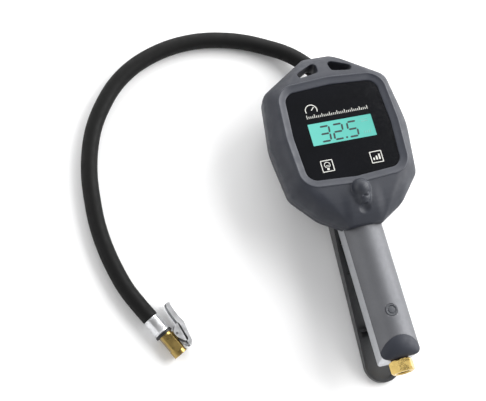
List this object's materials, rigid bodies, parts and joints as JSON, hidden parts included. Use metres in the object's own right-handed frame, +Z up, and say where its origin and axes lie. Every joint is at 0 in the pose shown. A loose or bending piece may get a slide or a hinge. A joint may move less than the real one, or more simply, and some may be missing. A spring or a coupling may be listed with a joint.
{
  "type": "tyre inflator with gauge",
  "caption": "Hand-held tyre inflator: digital gauge in a rubber boot, die-cast handle with squeeze lever, short hose and clip-on valve connector.",
  "frame": {"origin": "on the surface the inflator lies on, under the middle of the inflator's box, hose and connector left out", "axes": "+Z up from the surface, out of the gauge's face; +Y along the handle towards the head's top; +X to the right of a reader facing the gauge"},
  "size_m": [0.2864, 0.3437, 0.0785],
  "materials": {
    "boot_rubber": "satin moulded rubber",
    "housing_black": "fine moulded texture",
    "window_black": "polished, printed black behind",
    "display_teal": "lit from behind",
    "backlight_white": "diffusing",
    "key_black": "polished",
    "board_green": "solder resist",
    "screw_steel": "plated",
    "cell_wrap": "shrink wrap",
    "casting_silver": "satin die-cast",
    "cover_silver": "satin silver paint",
    "nose_dark": "satin",
    "plug_grey": "satin",
    "brass": "turned",
    "seal_rubber": "smooth",
    "fibre_red": "fibre washer",
    "lever_black": "fine moulded texture",
    "fitting_zinc": "zinc plated",
    "nickel": "satin nickel",
    "hose_rubber": "smooth calendered rubber",
    "sensor_metal": "plain"
  },
  "bodies": {
    "inflator": {"rubber_boot": "boot_rubber", "front_housing": "housing_black", "rear_housing": "housing_black", "housing_screws": "screw_steel", "window_lens": "window_black", "lcd_panel": "display_teal", "backlight": "backlight_white", "key_switches": "sensor_metal", "circuit_board": "board_green", "pressure_sensor": "sensor_metal", "battery_holder": "housing_black", "batteries": "cell_wrap", "battery_cover": "housing_black", "cover_screws": "screw_steel", "handle_casting": "casting_silver", "neck_screws": "screw_steel", "handle_front_cover": "cover_silver", "handle_nose": "nose_dark", "valve_plug": "plug_grey", "valve_spring": "screw_steel", "stem_seal": "seal_rubber", "lever_pin": "screw_steel", "inlet_adaptor": "brass", "inlet_seal": "fibre_red", "inlet_filter": "brass", "hose_tail": "fitting_zinc", "hose_ferrule": "fitting_zinc", "hose": "hose_rubber", "connector_tail": "nickel", "connector_ring": "seal_rubber", "connector_body": "brass", "connector_seal": "seal_rubber", "clip_pin": "screw_steel"},
    "lever": {"trigger_lever": "lever_black"},
    "plunger": {"valve_stem": "brass", "valve_seal": "seal_rubber"},
    "left_key": {"light_key": "key_black"},
    "right_key": {"units_key": "key_black"},
    "clip": {"clip_lever": "nickel", "clip_spring": "screw_steel"}
  },
  "joints": [
    {"name": "lever_squeeze", "type": "hinge", "parent": "inflator", "child": "lever", "pos_m": [0, 0.00105, 0.0175], "axis": [-1, 0, 0], "range_deg": [0, 3], "stiffness_Nm_per_rad": 20, "springref_deg": -3.44},
    {"name": "valve_slide", "type": "slide", "parent": "inflator", "child": "plunger", "axis": [0, 0.0958, 0.9954], "range_m": [0, 0.0053], "deforming": ["valve_spring"]},
    {"name": "light_key_press", "type": "slide", "parent": "inflator", "child": "left_key", "axis": [0, -0.0958, -0.9954], "range_m": [0, 0.0004], "stiffness_N_per_m": 1500, "springref_m": -0.0003},
    {"name": "units_key_press", "type": "slide", "parent": "inflator", "child": "right_key", "axis": [0, -0.0958, -0.9954], "range_m": [0, 0.0004], "stiffness_N_per_m": 1500, "springref_m": -0.0003},
    {"name": "clip_squeeze", "type": "hinge", "parent": "inflator", "child": "clip", "pos_m": [-0.1709, -0.06852, 0.0079], "axis": [0, 0, 1], "range_deg": [0, 14], "stiffness_Nm_per_rad": 0.4, "springref_deg": -14.32}
  ],
  "couplings": [
    {"joint": "valve_slide", "follows": "lever_squeeze", "m_per_rad": 0.1005}
  ]
}
